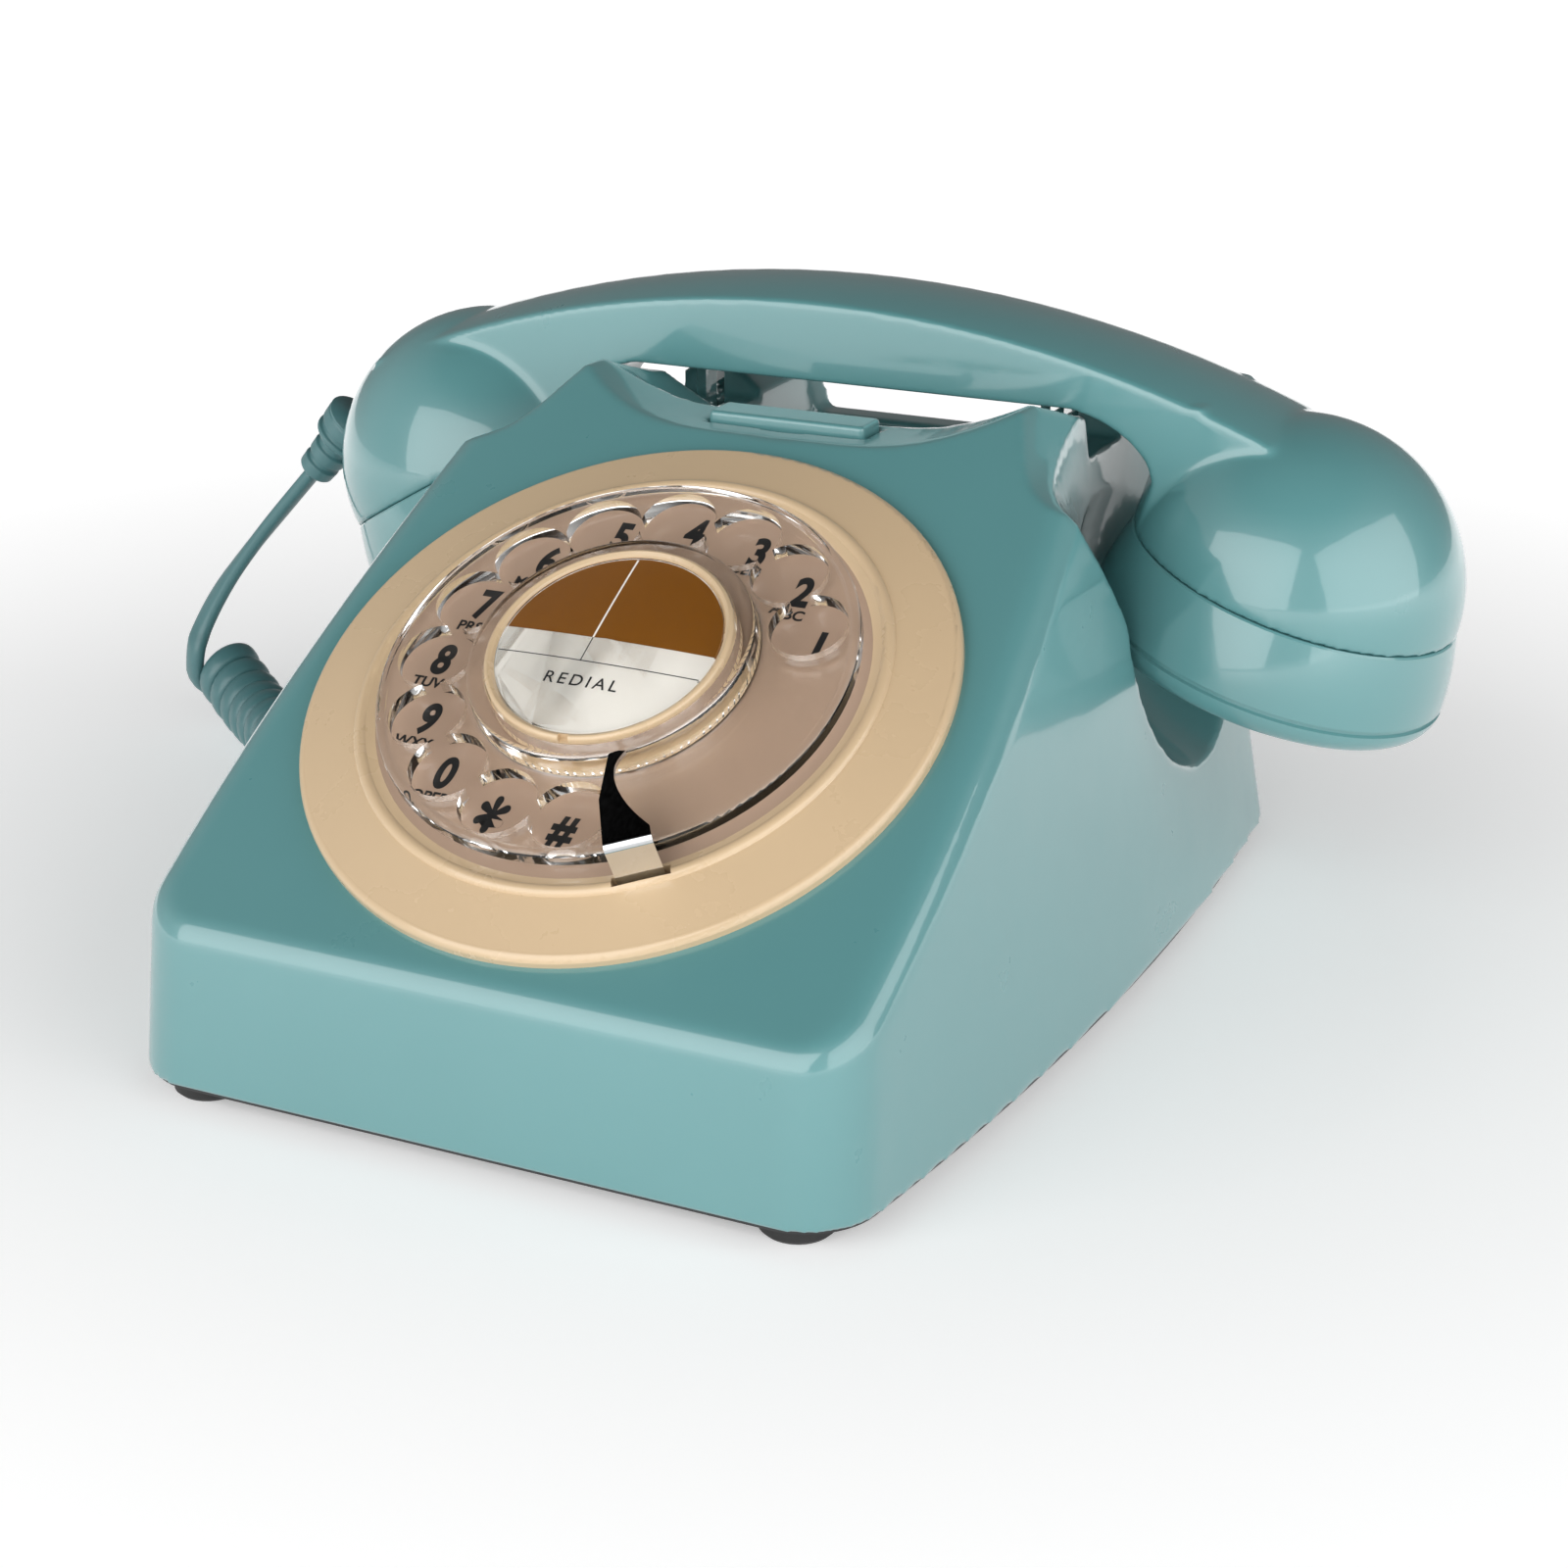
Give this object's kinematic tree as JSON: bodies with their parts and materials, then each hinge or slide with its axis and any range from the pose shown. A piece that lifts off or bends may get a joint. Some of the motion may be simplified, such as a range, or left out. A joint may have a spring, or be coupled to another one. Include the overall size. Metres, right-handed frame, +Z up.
{
  "type": "rotary desk telephone",
  "caption": "Wedge-shaped desk telephone with a clear rotary dial, a press-button dial centre, a bar button, a lift-off handset and a curly handset cord.",
  "frame": {"origin": "centre of the footprint of the telephone without its free cord, on the surface it stands on", "axes": "+X along the handset towards the ear end, -Y towards the user, +Z up"},
  "size_m": [0.2793, 0.2038, 0.1143],
  "materials": {
    "teal_plastic": "glossy moulded plastic",
    "teal_cord": "satin flexible plastic",
    "cream_plastic": "satin moulded plastic",
    "taupe_plastic": "satin moulded plastic with printed characters",
    "clear_plastic": "clear polished plastic",
    "label_print": "printed card",
    "black_plastic": "matt moulded plastic",
    "grey_rubber": "matt rubber",
    "polished_steel": "polished",
    "steel": "zinc plated",
    "brass": "plain",
    "bell_metal": "polished",
    "copper_coil": "lacquered winding",
    "board_green": "printed board"
  },
  "bodies": {
    "base": {"case_shell": "teal_plastic", "base_plate": "black_plastic", "base_screws": "steel", "screw_bosses": "black_plastic", "foot_front_left": "grey_rubber", "foot_front_right": "grey_rubber", "foot_rear_left": "grey_rubber", "foot_rear_right": "grey_rubber", "dial_ring": "cream_plastic", "number_plate": "taupe_plastic", "finger_stop": "polished_steel", "dial_housing": "black_plastic", "return_spring": "steel", "recall_switch": "black_plastic", "hook_switch_bracket": "steel", "hook_contacts": "brass", "gong_left": "bell_metal", "gong_right": "bell_metal", "gong_posts": "steel", "ringer_frame": "steel", "ringer_coils": "copper_coil", "circuit_board": "board_green", "board_components": "black_plastic", "line_jack": "black_plastic", "handset_socket": "black_plastic", "handset_cord_lead": "teal_cord", "handset_cord_coil": "teal_cord", "handset_cord_tail": "teal_cord", "handset_plug": "clear_plastic"},
    "finger_wheel_body": {"finger_wheel": "clear_plastic", "wheel_hub": "cream_plastic", "dial_shaft": "steel"},
    "centre_button_body": {"button_carrier": "cream_plastic", "label_card": "label_print", "label_cover": "clear_plastic"},
    "recall_button_body": {"recall_button": "teal_plastic"},
    "hook_body": {"hook_plunger_left": "clear_plastic", "hook_plunger_right": "clear_plastic", "hook_crossbar": "black_plastic"},
    "clapper_body": {"bell_clapper": "brass"},
    "handset_body": {"handset_shell": "teal_plastic", "ear_cap": "teal_plastic", "mouth_cap": "teal_plastic", "receiver_capsule": "steel", "microphone_capsule": "steel", "handset_weight": "steel", "handset_strain_relief": "teal_cord"}
  },
  "joints": [
    {"name": "finger_wheel_turn", "type": "hinge", "parent": "base", "child": "finger_wheel_body", "pos_m": [0, -0.04465, 0.0629], "axis": [0, 0.5045, -0.8634], "range_deg": [0, 330], "stiffness_Nm_per_rad": 0.012, "springref_deg": -34.38},
    {"name": "centre_button_press", "type": "slide", "parent": "finger_wheel_body", "child": "centre_button_body", "axis": [0, 0.5045, -0.8634], "range_m": [0, 0.0015], "stiffness_N_per_m": 300, "springref_m": -0.001},
    {"name": "recall_button_press", "type": "slide", "parent": "base", "child": "recall_button_body", "axis": [0, 0, -1], "range_m": [0, 0.0022], "stiffness_N_per_m": 400, "springref_m": -0.001},
    {"name": "handset_lift", "type": "slide", "parent": "base", "child": "handset_body", "axis": [0, 0, 1], "range_m": [0, 0.08], "deforming": ["handset_cord_lead"]},
    {"name": "hook_rise", "type": "slide", "parent": "base", "child": "hook_body", "axis": [0, 0, 1], "range_m": [0, 0.004]},
    {"name": "clapper_swing", "type": "hinge", "parent": "base", "child": "clapper_body", "pos_m": [0, 0.034, 0.0195], "axis": [0, 0, 1], "range_deg": [-1.8, 1.8], "stiffness_Nm_per_rad": 0.0005}
  ],
  "couplings": [
    {"joint": "hook_rise", "follows": "handset_lift", "ratio": 0.05}
  ]
}
